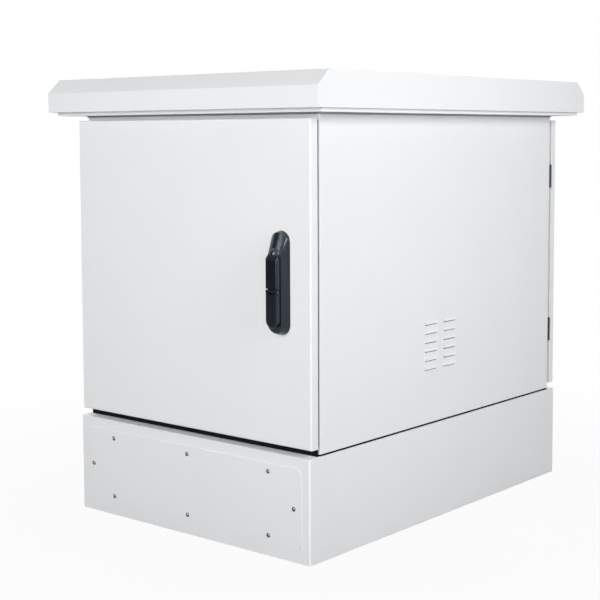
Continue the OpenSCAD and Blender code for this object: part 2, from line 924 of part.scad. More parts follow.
// Half section of the base, carried up to height top.
module base_section(top) {
    lean = (base_r - base_top_r) / base_h;
    polygon([[0, 0], [base_r, 0], [base_r - lean * top, top], [0, top]]);
}

module base_block(top) {
    translate([0, base_up, 0]) rotate([90, 0, 0]) linear_extrude(base_up + base_down) union() {
        base_section(top);
        mirror([1, 0]) base_section(top);
    }
    for (y = [base_up, -base_down]) translate([0, y, 0]) rotate_extrude() base_section(top);
}

// Slab of the handle between two heights on the door.
module handle_slab(y0, y1) {
    translate([-base_w, y0, 0]) cube([2 * base_w, y1 - y0, 2 * hood_h]);
}

// Base with a raked hood over its upper end and a rounded nose at its lower end.
module handle_body() {
    reach = 4 * base_w;
    intersection() {
        base_block(hood_h + ear_down);
        handle_slab(-ear_down, base_w + base_up);
        translate([0, 0, hood_h]) rotate([-hood_rake, 0, 0]) translate([0, 0, -hood_r])
            rotate([90, 0, 0]) cylinder(r = hood_r, h = reach, center = true);
    }
    intersection() {
        base_block(base_h);
        handle_slab(-base_down, -ear_down);
    }
    intersection() {
        base_block(base_h);
        handle_slab(-base_down - base_w, -base_down);
        translate([0, -base_down, base_h - nose_r]) rotate([0, 90, 0])
            cylinder(r = nose_r, h = reach, center = true);
    }
}

// The hood leaves room for the ball and, above the base, for the lever when it lifts and turns left.
module front_handle_base() {
    color(black) at_handle() difference() {
        handle_body();
        translate([0, 0, lift_h]) sphere(seat_r);
        translate([0, 0, base_floor]) cylinder(r = seat_r, h = lift_h - base_floor);
        translate([0, 0, -1]) cylinder(r = shaft_r + fit, h = base_floor + 2);
        translate([-lever_top, 0, base_h]) cylinder(r = lever_r + clear, h = hood_h);
        translate([-base_w, -base_w, base_h]) cube([base_w + ear_x, base_w + ear_up, hood_h]);
    }
}

module rear_handle_base() {
    turned() front_handle_base();
}

// Spindle with the tongue that carries the lift pin.
module front_spindle() {
    color(zinc) at_handle() difference() {
        union() {
            translate([0, 0, 2 - lock_d]) cylinder(r = shaft_r, h = lock_d - 2 + base_floor);
            intersection() {
                translate([-tongue_t / 2, -shaft_r, 1]) cube([tongue_t, 2 * shaft_r, lift_h - 1]);
                translate([0, 0, 1]) cylinder(r = shaft_r, h = lift_h);
            }
            translate([-tongue_t / 2, 0, lift_h]) rotate([0, 90, 0]) cylinder(r = shaft_r, h = tongue_t);
            translate([-square_w / 2, -square_w / 2, clear - case_d])
                cube([square_w, square_w, case_d - lock_d + 2]);
            translate([0, 0, -case_d - pivot_l]) cylinder(r = pivot_r, h = pivot_l + 1);
        }
        translate([-tongue_t, 0, lift_h]) rotate([0, 90, 0]) cylinder(r = lift_pin_r, h = 2 * tongue_t);
    }
}

module rear_spindle() {
    turned() front_spindle();
}

module front_lever_pin() {
    color(steel) at_handle() translate([lift_pin_in - ball_r, 0, lift_h]) rotate([0, 90, 0])
        cylinder(r = lift_pin_r, h = 2 * (ball_r - lift_pin_in));
}

module rear_lever_pin() {
    turned() front_lever_pin();
}

// Half section of the lever bar between two heights, its upper edge rounded.
module bar_section(r, z0, z1, round) {
    translate([0, z0]) square([r, z1 - z0 - round]);
    translate([0, z0]) square([r - round, z1 - z0]);
    translate([r - round, z1 - round]) circle(round);
}

// Bar with a round lower end.
module bar(r, y0, y1, z0, z1, round) {
    translate([0, y1, 0]) rotate([90, 0, 0]) linear_extrude(y1 - y0) union() {
        bar_section(r, z0, z1, round);
        mirror([1, 0]) bar_section(r, z0, z1, round);
    }
    translate([0, y0, 0]) rotate_extrude() bar_section(r, z0, z1, round);
}

// Slot for the tongue of the spindle, wide enough for the whole lift, and the bore of the lift pin.
module tongue_slot() {
    slot = tongue_t / 2 + slot_play;
    translate([-slot, -ball_r, 0]) cube([2 * slot, 2 * ball_r, lift_h]);
    translate([-slot, 0, lift_h]) rotate([0, 90, 0]) cylinder(r = slot_r, h = 2 * slot);
    translate([-ball_r, 0, lift_h]) rotate([0, 90, 0])
        cylinder(r = lift_pin_r + fit, h = 2 * ball_r);
}

module lever_ball() {
    difference() {
        translate([0, 0, lift_h]) sphere(ball_r);
        translate([-ball_r, -ball_r, 0]) cube([2 * ball_r, 2 * ball_r, lift_h - ball_flat]);
    }
}

// Bar with two round ends, sloped down to the ball at the upper one and cut to a tray at the lower one.
module lever_bar() {
    difference() {
        union() {
            bar(lever_r, -lever_down, -lever_top, lever_z0, lever_z1, lever_round);
            translate([0, -lever_top, 0]) rotate_extrude()
                bar_section(lever_r, lever_z0, lever_z1, lever_round);
        }
        translate([-lever_w, -lever_top, lever_z1]) rotate([-lever_slope, 0, 0])
            cube([2 * lever_w, 2 * lever_w, lever_w]);
        translate([-lever_w, -lever_down - lever_w, tray_top])
            cube([2 * lever_w, lever_down + lever_w - flip_down + flip_back, lever_t]);
        translate([0, -barrel_down, lever_z0 - 1]) cylinder(r = barrel_r, h = barrel_h);
    }
}

module flip_lug() {
    translate([-lug_w / 2, -flip_down, 0]) difference() {
        union() {
            translate([0, 0, flip_h]) rotate([0, 90, 0]) cylinder(r = flip_r, h = lug_w);
            translate([0, -flip_r, tray_top - 0.5]) cube([lug_w, 2 * flip_r, flip_h - tray_top + 0.5]);
        }
        translate([-1, 0, flip_h]) rotate([0, 90, 0]) cylinder(r = flip_pin_r, h = lug_w + 2);
    }
}

module front_lever() {
    color(black) at_handle() {
        difference() {
            union() {
                lever_ball();
                lever_bar();
            }
            tongue_slot();
        }
        translate([0, -barrel_down, lever_z0]) difference() {
            cylinder(r = barrel_r + barrel_wall, h = barrel_h);
            translate([0, 0, -1]) cylinder(r = barrel_r, h = barrel_h + 2);
        }
        flip_lug();
    }
}

module rear_lever() {
    turned() front_lever();
}

module front_lock_cylinder() {
    color(brass) at_handle() translate([0, -barrel_down, lever_z0]) difference() {
        cylinder(r = barrel_r, h = barrel_h + clear);
        translate([-key_w / 2, -key_l / 2, barrel_wall]) cube([key_w, key_l, barrel_h]);
    }
}

module rear_lock_cylinder() {
    turned() front_lock_cylinder();
}

module front_flip_pin() {
    color(steel) at_handle() translate([flip_pin_in - lever_r, -flip_down, flip_h]) rotate([0, 90, 0])
        cylinder(r = flip_pin_r, h = lever_w - 2 * flip_pin_in);
}

module rear_flip_pin() {
    turned() front_flip_pin();
}

module front_key_cover() {
    z0 = tray_top + clear;
    color(black) at_handle() difference() {
        union() {
            bar(lever_r, -lever_down, -flip_down, z0, lever_z1, lever_round);
            translate([-lever_r, -flip_down, flip_h]) rotate([0, 90, 0])
                cylinder(r = flip_r, h = lever_w);
        }
        bar(lever_r - flap_wall, -lever_down, -flip_down - 2 * flip_r, z0 - 1, lever_z1 - flap_wall,
            lever_round - flap_wall);
        translate([-lug_w / 2 - clear, -flip_down - 5, 0])
            cube([lug_w + 2 * clear, lever_w, 2 * lever_z1]);
        translate([-lever_w, -flip_down, flip_h]) rotate([0, 90, 0])
            cylinder(r = flip_pin_r + fit, h = 2 * lever_w);
    }
}

module rear_key_cover() {
    turned() front_key_cover();
}

// Rod lock behind the door: a pinion on the spindle moves two racks the opposite way.

function involute(a) = tan(a) * 180 / PI - a;
function half_tooth(r) = tooth / (2 * pitch_r) * 180 / PI + involute(gear_angle)
    - involute(acos(min(involute_r / r, 1)));
flank_r = [for (k = [0:5]) involute_r + (tip_r - involute_r) * k / 5];
function polar(r, a) = [r * cos(a), r * sin(a)];
function tooth_points(a) = concat(
    [polar(root_r, a - half_tooth(involute_r))],
    [for (r = flank_r) polar(r, a - half_tooth(r))],
    [for (k = [5:-1:0]) polar(flank_r[k], a + half_tooth(flank_r[k]))],
    [polar(root_r, a + half_tooth(involute_r))]);

module front_pinion() {
    color(steel) at_handle() translate([0, 0, -lock_d - rod_t - 1]) linear_extrude(rod_t + 2) difference() {
        polygon([for (k = [0:gear_teeth - 1]) each tooth_points(k * 360 / gear_teeth)]);
        square(square_w, center = true);
    }
}

module rear_pinion() {
    turned() front_pinion();
}

// Rack rod at +X from height y0 to y1.
module rack_rod(y0, y1) {
    tip_x = pitch_r - gear_m;
    tip = tooth / 2 - gear_m * tan(gear_angle);
    foot = tooth / 2 + (rod_x0 - pitch_r) * tan(gear_angle);
    linear_extrude(rod_t) polygon(concat(
        [[rod_x1, y0], [rod_x1, y1], [rod_x0, y1]],
        [for (k = [rack_last:-1:rack_first], mid = [(k + 0.5) * pitch])
            each [[rod_x0, mid + foot], [tip_x, mid + tip], [tip_x, mid - tip], [rod_x0, mid - foot]]],
        [[rod_x0, y0]]));
}

module front_upper_rod() {
    color(zinc) at_handle() translate([0, 0, -lock_d - rod_t]) rack_rod(rod_tail, rod_up);
}

module front_lower_rod() {
    color(zinc) at_handle() translate([0, 0, -lock_d - rod_t]) rotate([0, 0, 180])
        rack_rod(rod_tail, rod_down);
}

module rear_upper_rod() {
    turned() front_upper_rod();
}

module rear_lower_rod() {
    turned() front_lower_rod();
}

// Pressed case that holds the inner end of the spindle.
module front_lock_case() {
    color(zinc) at_handle() difference() {
        union() {
            translate([-case_x, -case_h / 2, -case_d - door_sheet]) cube([2 * case_x, case_h, door_sheet]);
            for (s = [-1, 1]) {
                translate([s > 0 ? case_x - door_sheet : -case_x, -case_h / 2, -case_d])
                    cube([door_sheet, case_h, case_d - door_sheet]);
                translate([s > 0 ? case_x - door_sheet : -case_x - case_foot, -case_h / 2, -2 * door_sheet])
                    cube([case_foot + door_sheet, case_h, door_sheet]);
            }
        }
        translate([0, 0, -case_d - pivot_l]) cylinder(r = pivot_r + fit, h = 2 * pivot_l);
    }
}

module rear_lock_case() {
    turned() front_lock_case();
}

// Plastic guide block for one rod at +X, standing on the inside of the door.
module rod_guide() {
    translate([rod_x0 - guide_wall - clear, -guide_h / 2, -case_d]) difference() {
        cube([rod_w + 2 * (guide_wall + clear), guide_h, case_d - door_sheet]);
        translate([guide_wall, -1, case_d - lock_d - rod_t - clear])
            cube([rod_w + 2 * clear, guide_h + 2, rod_t + 2 * clear]);
    }
}

module front_rod_guides() {
    color(black) at_handle() {
        translate([0, guide_up, 0]) rod_guide();
        rotate([0, 0, 180]) translate([0, guide_down, 0]) rod_guide();
    }
}

module rear_rod_guides() {
    turned() front_rod_guides();
}

plinth_flanges();
plinth_sides();
plinth_ends();
plinth_seal();
plinth_front_cover();
plinth_rear_cover();
plinth_cover_screws();
plinth_bolts();
left_side_panel();
right_side_panel();
ceiling_panel();
floor_panel();
gland_plate();
cable_grommets();
roof_tray();
tray_rim();
roof_seal();
roof_canopy();
canopy_bolts();
filter_frames();
filter_mats();
front_left_rail();
front_right_rail();
rear_left_rail();
rear_right_rail();
left_depth_rails();
right_depth_rails();
rail_bolts();
hinge_frame_leaves();
hinge_pins();
front_door_panel();
front_door_gasket();
front_door_leaves();
front_handle_base();
front_lock_case();
front_rod_guides();
front_spindle();
front_pinion();
front_lever_pin();
front_lever();
front_lock_cylinder();
front_flip_pin();
front_key_cover();
front_upper_rod();
front_lower_rod();
rear_door_panel();
rear_door_gasket();
rear_door_leaves();
rear_handle_base();
rear_lock_case();
rear_rod_guides();
rear_spindle();
rear_pinion();
rear_lever_pin();
rear_lever();
rear_lock_cylinder();
rear_flip_pin();
rear_key_cover();
rear_upper_rod();
rear_lower_rod();
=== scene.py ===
# %% [markdown]
# # A roadside utility cabinet, dressed in Blender
# The imported model of the cabinet is loaded as a fixed frame, in metres: the ground is z = 0, the front door
# looks along -Y and +X is to its right. This lesson gives every piece its finish and softens the folded
# edges that the exact solids leave sharp. Nothing changes size.

# %% Load the frame
import json
from math import cos, radians, sin

import bmesh
import bpy
from mathutils import Matrix, Vector


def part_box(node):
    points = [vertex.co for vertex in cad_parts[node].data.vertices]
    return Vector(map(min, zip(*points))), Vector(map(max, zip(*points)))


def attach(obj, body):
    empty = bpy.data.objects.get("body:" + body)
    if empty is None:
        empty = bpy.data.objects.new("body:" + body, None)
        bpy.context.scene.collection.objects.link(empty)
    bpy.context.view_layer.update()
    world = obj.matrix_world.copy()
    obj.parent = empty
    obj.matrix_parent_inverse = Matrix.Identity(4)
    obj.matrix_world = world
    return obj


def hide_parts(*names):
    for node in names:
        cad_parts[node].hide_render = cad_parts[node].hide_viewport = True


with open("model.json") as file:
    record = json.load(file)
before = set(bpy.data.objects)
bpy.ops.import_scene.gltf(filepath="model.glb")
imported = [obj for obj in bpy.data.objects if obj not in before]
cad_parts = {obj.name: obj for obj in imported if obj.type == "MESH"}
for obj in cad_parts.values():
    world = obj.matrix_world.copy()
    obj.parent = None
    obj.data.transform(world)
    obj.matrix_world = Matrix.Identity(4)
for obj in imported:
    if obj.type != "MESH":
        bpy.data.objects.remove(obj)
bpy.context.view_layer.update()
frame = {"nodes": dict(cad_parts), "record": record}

# %% [markdown]
# ## Camera
# The photograph looks at the corner between the front door and the right side, from a little above mid
# height. A pinhole camera was fitted to the corners of door, plinth and canopy. The upright edges stay
# almost parallel in the picture, which is what a small downward lens shift does, so the camera has one.

# %% Camera
AZIMUTH, ELEVATION, ROLL = radians(40.0), radians(4.56), radians(-0.219)
DISTANCE, ASIDE, AIM_HEIGHT = 2.8025, -0.061, 0.5333
FOCAL_PIXELS, IMAGE_PIXELS, SENSOR, LENS_SHIFT = 1326.2, 600, 36.0, -0.1

back = Vector((sin(AZIMUTH) * cos(ELEVATION), -cos(AZIMUTH) * cos(ELEVATION), sin(ELEVATION)))
level = Vector((cos(AZIMUTH), sin(AZIMUTH), 0))
upward = back.cross(level)
across = level * cos(ROLL) + upward * sin(ROLL)
upward = upward * cos(ROLL) - level * sin(ROLL)
eye = Vector((0, 0, AIM_HEIGHT)) + level * ASIDE + back * DISTANCE

lens = bpy.data.cameras.new("camera")
lens.sensor_fit = "HORIZONTAL"
lens.sensor_width = SENSOR
lens.lens = FOCAL_PIXELS / IMAGE_PIXELS * SENSOR
lens.shift_y = LENS_SHIFT
camera = bpy.data.objects.new("camera", lens)
camera.matrix_world = Matrix.Translation(eye) @ Matrix((across, upward, back)).transposed().to_4x4()
bpy.context.scene.collection.objects.link(camera)
bpy.context.scene.camera = camera
print("camera at", [round(v, 2) for v in eye], "lens", round(lens.lens, 1), "mm")

# %% [markdown]
# ## Floor and backdrop
# The cabinet stands on a white sweep. A plain white floor under lamps would come out uneven, so this one
# glows: the camera sees white, mixed near the cabinet with a little diffuse paint that keeps the soft
# shadow at the foot. Reflections see less of the glow, or the lower half of the handle would mirror a
# bright floor and look grey. Light Path tells the two apart, and it stays in the stage's own materials.

# %% Helpers for nodes
scene = bpy.context.scene
scene.view_settings.view_transform = "Standard"


def link_chain(tree, *pairs):
    """Links pairs of an output and an input."""
    for source, target in pairs:
        tree.links.new(source, target)


def add_math(tree, operation, first, second):
    """Math node on two values, each a number or a socket."""
    node = tree.nodes.new("ShaderNodeMath")
    node.operation = operation
    for socket, value in zip(node.inputs, (first, second)):
        if isinstance(value, (int, float)):
            socket.default_value = value
        else:
            tree.links.new(value, socket)
    return node.outputs[0]


def white_to_camera(tree, mirrored=1.0):
    """Mask that is 1 where the camera looks straight at the surface, and a share of it in reflections."""
    path = tree.nodes.new("ShaderNodeLightPath").outputs
    reflected = add_math(tree, "MULTIPLY", path["Is Glossy Ray"], mirrored)
    seen = add_math(tree, "MAXIMUM", path["Is Camera Ray"], reflected)
    return add_math(tree, "MAXIMUM", seen, path["Is Transmission Ray"])


# %% Floor
FLOOR_SIZE, FLOOR_PAINT, FLOOR_MIRRORED = 30, (0.24, 0.24, 0.24, 1), 0.3
SHADOW_NEAR, SHADOW_FAR, NEAR_GLOW = 0.6, 1.5, 0.95
WHITE = (1, 1, 1, 1)


def stage_sheet(name, size, place=Matrix()):
    """Flat square sheet that belongs to the studio and not to the cabinet."""
    mesh = bpy.data.meshes.new(name)
    shape = bmesh.new()
    bmesh.ops.create_grid(shape, x_segments=1, y_segments=1, size=size, matrix=place)
    shape.to_mesh(mesh)
    shape.free()
    sheet = bpy.data.objects.new(name, mesh)
    scene.collection.objects.link(sheet)
    return sheet


floor = stage_sheet("floor", FLOOR_SIZE)
sweep = bpy.data.materials.new("white sweep")
sweep.use_nodes = True
tree = sweep.node_tree
tree.nodes.clear()
paint = tree.nodes.new("ShaderNodeBsdfDiffuse")
paint.inputs["Color"].default_value = FLOOR_PAINT
glow = tree.nodes.new("ShaderNodeEmission")
glow.inputs["Color"].default_value = WHITE
reach = tree.nodes.new("ShaderNodeVectorMath")
reach.operation = "LENGTH"
far = tree.nodes.new("ShaderNodeMapRange")
for label, value in (("From Min", SHADOW_NEAR), ("From Max", SHADOW_FAR), ("To Min", NEAR_GLOW)):
    far.inputs[label].default_value = value
share = add_math(tree, "MULTIPLY", white_to_camera(tree, FLOOR_MIRRORED), far.outputs[0])
blend = tree.nodes.new("ShaderNodeMixShader")
surface = tree.nodes.new("ShaderNodeOutputMaterial")
link_chain(tree, (tree.nodes.new("ShaderNodeTexCoord").outputs["Object"], reach.inputs[0]),
           (reach.outputs["Value"], far.inputs["Value"]), (share, blend.inputs[0]),
           (paint.outputs[0], blend.inputs[1]), (glow.outputs[0], blend.inputs[2]),
           (blend.outputs[0], surface.inputs[0]))
floor.data.materials.append(sweep)
print("floor", 2 * FLOOR_SIZE, "m wide, glow near the cabinet", NEAR_GLOW)

# %% Backdrop
SKY, SKY_STRENGTH = (0.97, 0.985, 1, 1), 0.14
world = bpy.data.worlds.new("studio")
scene.world = world
world.use_nodes = True
tree = world.node_tree
tree.nodes.clear()
ambient = tree.nodes.new("ShaderNodeBackground")
ambient.inputs["Color"].default_value = SKY
ambient.inputs["Strength"].default_value = SKY_STRENGTH
backdrop = tree.nodes.new("ShaderNodeBackground")
backdrop.inputs["Color"].default_value = WHITE
blend = tree.nodes.new("ShaderNodeMixShader")
surface = tree.nodes.new("ShaderNodeOutputWorld")
link_chain(tree, (white_to_camera(tree), blend.inputs[0]), (ambient.outputs[0], blend.inputs[1]),
           (backdrop.outputs[0], blend.inputs[2]), (blend.outputs[0], surface.inputs[0]))
print("backdrop white, ambient light", SKY_STRENGTH)

# %% [markdown]
# ## Lamps
# Two softboxes at about the height of the roof look at the front door and at the right side. From there the
# sheets darken towards the ground, and the slope of the roof, which faces up, stays darker than its skirt.
# A small one beside the camera, lower than the roof, draws thin lines of light on the edges between front
# and side. Two more light the left side, the rear and the roof for views from there. A black card at the
# left is mirrored in the front of the handle, which would look grey without it. The camera itself doesn't
# see the card, so that views from behind keep a white backdrop.

# %% Softboxes
def soft_lamp(name, place, aim, size, watts):
    """Square softbox at a place, looking at a point."""
    data = bpy.data.lights.new(name, "AREA")
    data.shape = "SQUARE"
    data.size = size
    data.energy = watts
    lamp = bpy.data.objects.new(name, data)
    lamp.location = place
    lamp.rotation_euler = (Vector(aim) - Vector(place)).to_track_quat("-Z", "Y").to_euler()
    scene.collection.objects.link(lamp)
    return lamp


soft_lamp("right softbox", (2.08, -0.38, 1.16), (0.3, 0, 0.6), 1.2, 35.0)
soft_lamp("front softbox", (0.1, -2.75, 1.14), (0, -0.4, 0.6), 1.2, 48.5)
soft_lamp("edge softbox", (2.15, -2.55, 0.6), (0.2, -0.4, 0.5), 0.4, 6)
soft_lamp("left softbox", (-2.08, 0.3, 1.2), (-0.3, 0, 0.6), 1.2, 36)
soft_lamp("rear softbox", (-0.1, 2.5, 2.2), (0, 0.2, 0.7), 1.4, 62)

# %% Black card
CARD_SIZE, CARD_PLACE, CARD_TURN = 2.2, (-2.0, -3.0, 1.7), radians(-36)
upright = Matrix.Rotation(CARD_TURN, 4, "Z") @ Matrix.Rotation(radians(90), 4, "X")
card = stage_sheet("black card", CARD_SIZE, Matrix.Translation(CARD_PLACE) @ upright)
card.visible_camera = False
velvet = bpy.data.materials.new("black velvet")
velvet.use_nodes = True
skin = velvet.node_tree.nodes["Principled BSDF"]
skin.inputs["Base Color"].default_value = (0.004, 0.004, 0.004, 1)
skin.inputs["Roughness"].default_value = 1.0
card.data.materials.append(velvet)
print("card", 2 * CARD_SIZE, "m wide at", CARD_PLACE)

# %% [markdown]
# ## Finishes
# Each finish is a Principled material fed by small node groups. A group is built once and only puts out
# masks and heights that change over the surface, read from Object coordinates, so a pattern has its true
# scale in metres on every piece. The first group is the skin of powder coat: fine orange peel, a slow
# waviness of the sheet and faint mottling.

# %% Group: orange peel
def new_group(name, inputs, outputs):
    """Node group with float inputs (name, value) and outputs (name, kind)."""
    group = bpy.data.node_groups.new(name, "ShaderNodeTree")
    for label, value in inputs:
        socket = group.interface.new_socket(label, in_out="INPUT", socket_type="NodeSocketFloat")
        socket.default_value = value
    for label, kind in outputs:
        group.interface.new_socket(label, in_out="OUTPUT", socket_type="NodeSocket" + kind)
    return group, group.nodes.new("NodeGroupInput"), group.nodes.new("NodeGroupOutput")


def add_noise(tree, point, scale, detail=2.0):
    """Noise texture at a scale in cycles per metre, which may be a socket."""
    noise = tree.nodes.new("ShaderNodeTexNoise")
    noise.inputs["Detail"].default_value = detail
    tree.links.new(point, noise.inputs["Vector"])
    if isinstance(scale, float):
        noise.inputs["Scale"].default_value = scale
    else:
        tree.links.new(scale, noise.inputs["Scale"])
    return noise.outputs["Fac"]


WAVE_SCALE, WAVE_SHARE = 9.0, 2.5
peel, given, made = new_group("orange peel", [("Peel scale", 700.0), ("Mottle scale", 7.0)],
                              [("Height", "Float"), ("Mottle", "Float")])
point = peel.nodes.new("ShaderNodeTexCoord").outputs["Object"]
grain = add_noise(peel, point, given.outputs["Peel scale"])
wave = add_noise(peel, point, WAVE_SCALE, 1.0)
height = add_math(peel, "MULTIPLY_ADD", wave, WAVE_SHARE)
peel.links.new(grain, height.node.inputs[2])
peel.links.new(height, made.inputs["Height"])
peel.links.new(add_noise(peel, point, given.outputs["Mottle scale"], 3.0), made.inputs["Mottle"])
print(peel.name, "of", len(peel.nodes), "nodes")

# %% [markdown]
# The second group is dust and rain dirt: it settles on faces that look up, and thins out on upright ones.
# Its other mask marks what lies flat, where a film of dust takes the gloss off the coat. Without it the top
# of the roof would mirror the lamps at a low angle and burn out to white. The third is a directional
# scratch pattern for rolled and plated metal, made by stretching a noise along one axis.

# %% Groups: settled dust, rolled metal
FLAT_FROM, FLAT_FULL = 0.85, 0.99
LINE_STRETCH = (1, 1, 0.03)
dust, given, made = new_group("settled dust", [("Amount", 0.3), ("Patch scale", 14.0)],
                              [("Dust", "Float"), ("Flat", "Float")])
point = dust.nodes.new("ShaderNodeTexCoord").outputs["Object"]
facing = dust.nodes.new("ShaderNodeSeparateXYZ")
dust.links.new(dust.nodes.new("ShaderNodeNewGeometry").outputs["Normal"], facing.inputs[0])
upness = add_math(dust, "MAXIMUM", facing.outputs["Z"], 0.0)
patches = add_math(dust, "MULTIPLY", upness, add_noise(dust, point, given.outputs["Patch scale"], 4.0))
flat = dust.nodes.new("ShaderNodeMapRange")
flat.inputs["From Min"].default_value = FLAT_FROM
flat.inputs["From Max"].default_value = FLAT_FULL
link_chain(dust, (add_math(dust, "MULTIPLY", patches, given.outputs["Amount"]), made.inputs["Dust"]),
           (upness, flat.inputs["Value"]), (flat.outputs[0], made.inputs["Flat"]))

rolled, given, made = new_group("rolled metal", [("Line scale", 900.0), ("Cloud scale", 40.0)],
                                [("Lines", "Float"), ("Clouds", "Float")])
point = rolled.nodes.new("ShaderNodeTexCoord").outputs["Object"]
stretch = rolled.nodes.new("ShaderNodeMapping")
stretch.inputs["Scale"].default_value = LINE_STRETCH
rolled.links.new(point, stretch.inputs["Vector"])
rolled.links.new(add_noise(rolled, stretch.outputs[0], given.outputs["Line scale"]), made.inputs["Lines"])
rolled.links.new(add_noise(rolled, point, given.outputs["Cloud scale"], 5.0), made.inputs["Clouds"])
print("groups:", [g.name for g in bpy.data.node_groups])

# %% [markdown]
# A small helper starts a material: the Principled shader keeps every number that is the same all over, and
# the groups only feed colour, roughness and bump. `blend_colours` mixes two written colours by a mask.

# %% Material helpers
def new_finish(name, **numbers):
    """Principled material with plain numbers on its sockets, and its node tree and shader."""
    material = bpy.data.materials.new(name)
    material.use_nodes = True
    tree = material.node_tree
    skin = tree.nodes["Principled BSDF"]
    for label, value in numbers.items():
        skin.inputs[label.replace("_", " ")].default_value = value
    return material, tree, skin


def use_group(tree, group, **values):
    """Places a group with its own values and gives its outputs."""
    node = tree.nodes.new("ShaderNodeGroup")
    node.node_tree = group
    for label, value in values.items():
        node.inputs[label.replace("_", " ")].default_value = value
    return node.outputs


def blend_colours(tree, mask, first, second):
    """Mixes two colours, each written or from a socket, by a mask."""
    mix = tree.nodes.new("ShaderNodeMix")
    mix.data_type = "RGBA"
    tree.links.new(mask, mix.inputs[0])
    for socket, colour in zip(mix.inputs[6:8], (first, second)):
        if isinstance(colour, tuple):
            socket.default_value = (*colour, 1)
        else:
            tree.links.new(colour, socket)
    return mix.outputs[2]


def spread(tree, mask, low, high):
    """Maps a mask from 0..1 to low..high."""
    node = tree.nodes.new("ShaderNodeMapRange")
    node.inputs["To Min"].default_value = low
    node.inputs["To Max"].default_value = high
    tree.links.new(mask, node.inputs["Value"])
    return node.outputs[0]


def bump(tree, skin, height, depth):
    """Turns a height into bumps of a depth in metres."""
    node = tree.nodes.new("ShaderNodeBump")
    node.inputs["Distance"].default_value = depth
    link_chain(tree, (height, node.inputs["Height"]), (node.outputs[0], skin.inputs["Normal"]))


# %% [markdown]
# Powder coat: a light grey polyester, satin, with the peel that such a coat has when it is baked. A trace
# of dust lies on what faces up, and makes flat tops matt.

# %% Powder coat
COAT, COAT_DARK, DUST = (0.80, 0.812, 0.825), (0.765, 0.778, 0.792), (0.62, 0.60, 0.56)
COAT_PEEL, PLASTIC_PEEL, HINGE_PEEL = 0.00006, 0.00004, 0.00005
coat, tree, skin = new_finish("powder coat", Specular_IOR_Level=0.35)
look = use_group(tree, peel)
lying = use_group(tree, dust, Amount=0.12)
tone = blend_colours(tree, look["Mottle"], COAT, COAT_DARK)
satin = spread(tree, look["Mottle"], 0.50, 0.62)
link_chain(tree, (blend_colours(tree, lying["Dust"], tone, DUST), skin.inputs["Base Color"]),
           (add_math(tree, "MAXIMUM", satin, lying["Flat"]), skin.inputs["Roughness"]))
bump(tree, skin, look["Height"], COAT_PEEL)
print(coat.name, "of", len(tree.nodes), "nodes")

# %% [markdown]
# Black polyamide of the handle: a glass-filled plastic with an eroded mould grain, blue-black rather than
# pure black, with a cool gloss that draws a soft line of light along its edges.

# %% Black plastic
BLACK, BLACK_WORN = (0.0028, 0.0042, 0.0072), (0.0060, 0.0085, 0.0130)
BLUE_GLOSS = (0.75, 0.88, 1.0, 1)
plastic, tree, skin = new_finish("black polyamide", Specular_IOR_Level=0.60, Specular_Tint=BLUE_GLOSS)
look = use_group(tree, peel, Peel_scale=2600.0, Mottle_scale=60.0)
lying = use_group(tree, dust, Amount=0.10, Patch_scale=120.0)
tone = blend_colours(tree, look["Mottle"], BLACK, BLACK_WORN)
link_chain(tree, (blend_colours(tree, lying["Dust"], tone, DUST), skin.inputs["Base Color"]),
           (spread(tree, look["Mottle"], 0.18, 0.28), skin.inputs["Roughness"]))
bump(tree, skin, look["Height"], PLASTIC_PEEL)
print(plastic.name, "of", len(tree.nodes), "nodes")

# %% [markdown]
# The hinges are zinc castings with a black powder coat, a little rougher and greyer than the moulded
# handle.

# %% Black powder coat
HINGE_BLACK, HINGE_GREY = (0.018, 0.020, 0.022), (0.030, 0.033, 0.036)
hinge_coat, tree, skin = new_finish("black powder coat", Specular_IOR_Level=0.4)
look = use_group(tree, peel, Peel_scale=1400.0, Mottle_scale=40.0)
tone = blend_colours(tree, look["Mottle"], HINGE_BLACK, HINGE_GREY)
link_chain(tree, (tone, skin.inputs["Base Color"]),
           (spread(tree, look["Mottle"], 0.42, 0.56), skin.inputs["Roughness"]))
bump(tree, skin, look["Height"], HINGE_PEEL)
print(hinge_coat.name, "of", len(tree.nodes), "nodes")

# %% [markdown]
# Metals: zinc-plated sheet with a cloudy spangle for rails and rods, bright stainless for screws and pins,
# and turned brass for the lock cylinder. They share the rolled metal group with their own colours.

# %% Metals
def metal(name, first, second, rough, line_scale, cloud_scale, depth):
    """Metal of two colours in clouds, with a range of roughness and lines along the piece."""
    material, tree, skin = new_finish(name, Metallic=1.0)
    look = use_group(tree, rolled, Line_scale=line_scale, Cloud_scale=cloud_scale)
    tone = blend_colours(tree, look["Clouds"], first, second)
    link_chain(tree, (tone, skin.inputs["Base Color"]),
               (spread(tree, look["Lines"], *rough), skin.inputs["Roughness"]))
    bump(tree, skin, look["Lines"], depth)
    print(name, "of", len(tree.nodes), "nodes")
    return material


zinc = metal("zinc plate", (0.60, 0.62, 0.65), (0.46, 0.48, 0.50), (0.26, 0.46), 700.0, 60.0, 0.00002)
steel = metal("stainless steel", (0.25, 0.245, 0.24), (0.15, 0.147, 0.144), (0.16, 0.30),
              2500.0, 150.0, 0.00001)
brass = metal("turned brass", (0.68, 0.50, 0.22), (0.54, 0.38, 0.15), (0.20, 0.36), 2500.0, 200.0, 0.00001)

# %% [markdown]
# Rubber, foam and fleece: closed-cell rubber has fine pores and no gloss. The cord under the roof is the
# same stuff in grey, so one function makes both from their colours. The cord's grey is painted shade: it
# deepens the cord's own shadow into the dark line under the roof's tray. The filter mat is
# a tangle of grey fibres, which two noises at different scales imitate.

# %% Rubber, foam and fleece
PORE_DEPTH, FIBRE_DEPTH = 0.0002, 0.001
FIBRE_DARK, FIBRE_LIGHT = (0.16, 0.165, 0.17), (0.52, 0.53, 0.54)


